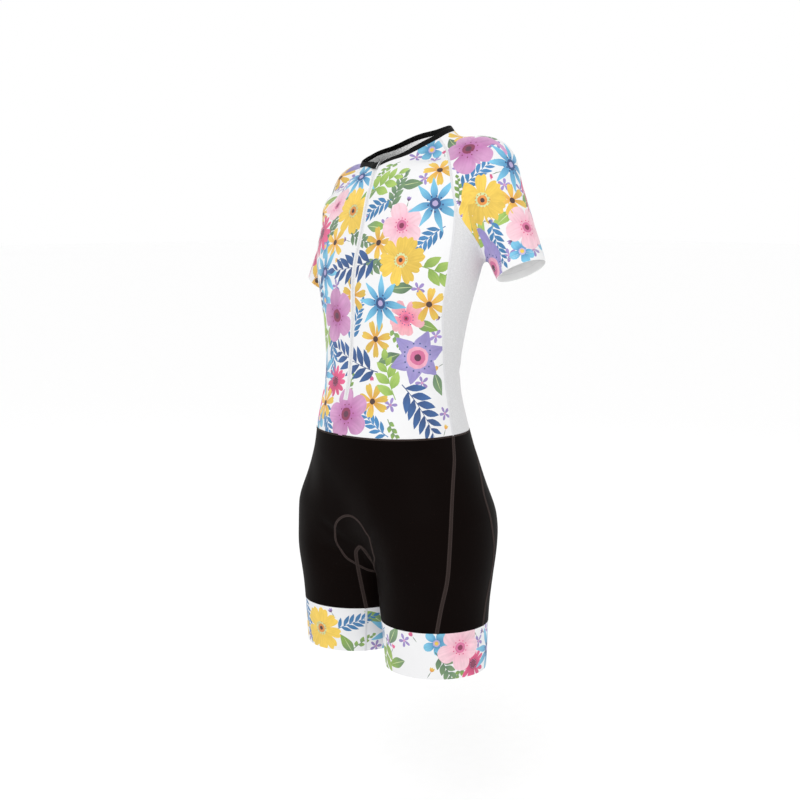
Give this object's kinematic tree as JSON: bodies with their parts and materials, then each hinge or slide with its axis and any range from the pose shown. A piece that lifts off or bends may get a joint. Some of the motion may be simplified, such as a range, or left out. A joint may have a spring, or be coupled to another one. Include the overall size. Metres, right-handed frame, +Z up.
{
  "type": "short-sleeved triathlon suit",
  "caption": "Short-sleeved triathlon suit filled out as worn with no wearer: printed flower top, white side panels, black shorts and printed leg bands, all openings empty.",
  "frame": {"origin": "between the wearer's shoulder joints, at their height, where the wearer holds the suit up", "axes": "+Z up, +X to the wearer's left, +Y to the wearer's back"},
  "size_m": [0.5, 0.2536, 0.8567],
  "materials": {
    "printed_lycra": "knitted stretch cloth, flower print, soft sheen",
    "white_lycra": "knitted stretch cloth, fine mesh, matte",
    "black_lycra": "knitted stretch cloth, soft sheen",
    "black_binding": "folded elastic binding, matte",
    "zip_tape": "woven tape with a moulded coil",
    "painted_zinc": "black paint, satin"
  },
  "bodies": {
    "root": {"front": "printed_lycra", "back": "printed_lycra", "side_left": "white_lycra", "side_right": "white_lycra", "sleeve_left": "printed_lycra", "sleeve_right": "printed_lycra", "neck_binding": "black_binding", "zip_garage": "black_binding", "zip_slider": "painted_zinc", "zip_tape_left": "zip_tape", "zip_tape_right": "zip_tape", "shorts_front": "black_lycra", "shorts_back_left": "black_lycra", "shorts_back_right": "black_lycra", "shorts_side_left": "black_lycra", "shorts_side_right": "black_lycra", "leg_band_left": "printed_lycra", "leg_band_right": "printed_lycra"}
  },
  "joints": []
}
